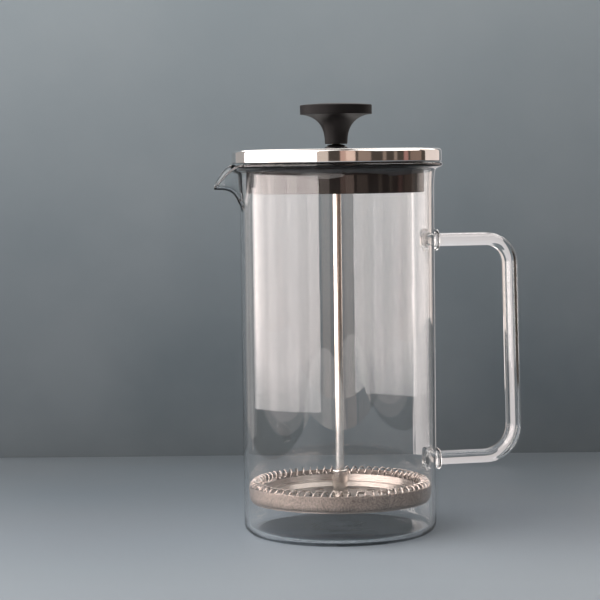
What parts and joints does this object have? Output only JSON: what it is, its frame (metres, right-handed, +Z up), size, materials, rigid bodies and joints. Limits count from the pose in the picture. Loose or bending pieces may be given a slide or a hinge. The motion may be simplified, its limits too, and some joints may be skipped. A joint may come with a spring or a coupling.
{
  "type": "french press",
  "caption": "Glass french press with a fused glass handle, pouring beak, steel lid with a black collar, and a sprung mesh filter plunger with a black knob.",
  "frame": {"origin": "centre of the beaker's flat underside", "axes": "+Z up along the rod, the handle points along +X and the beak along -X"},
  "size_m": [0.1646, 0.109, 0.2221],
  "materials": {
    "clear_glass": "clear borosilicate glass",
    "polished_steel": "mirror polished stainless steel",
    "brushed_steel": "satin stainless sheet",
    "zinc_steel": "plain turned steel",
    "spring_steel": "drawn spring wire",
    "steel_mesh": "fine woven stainless mesh",
    "matte_black": "fine matte moulded plastic",
    "gloss_black": "glossy moulded plastic",
    "brass_insert": "turned brass"
  },
  "bodies": {
    "jug": {"beaker": "clear_glass", "handle": "clear_glass", "upper_boss": "clear_glass", "lower_boss": "clear_glass"},
    "lid": {"lid_cap": "polished_steel", "lid_base": "brushed_steel", "lid_collar": "gloss_black", "lid_bush": "gloss_black", "bush_washer": "zinc_steel", "bush_nut": "zinc_steel"},
    "plunger": {"plunger_rod": "polished_steel", "knob": "matte_black", "knob_insert": "brass_insert", "filter_hub": "polished_steel", "spring_plate": "brushed_steel", "rim_spring": "spring_steel", "mesh_screen": "steel_mesh", "support_plate": "brushed_steel", "clamp_washer": "zinc_steel", "clamp_nut": "zinc_steel"}
  },
  "joints": [
    {"name": "lid_lift", "type": "slide", "parent": "jug", "child": "lid", "axis": [0, 0, 1], "range_m": [0, 0.2]},
    {"name": "plunger_slide", "type": "slide", "parent": "lid", "child": "plunger", "axis": [0, 0, 1], "range_m": [0, 0.147]}
  ]
}
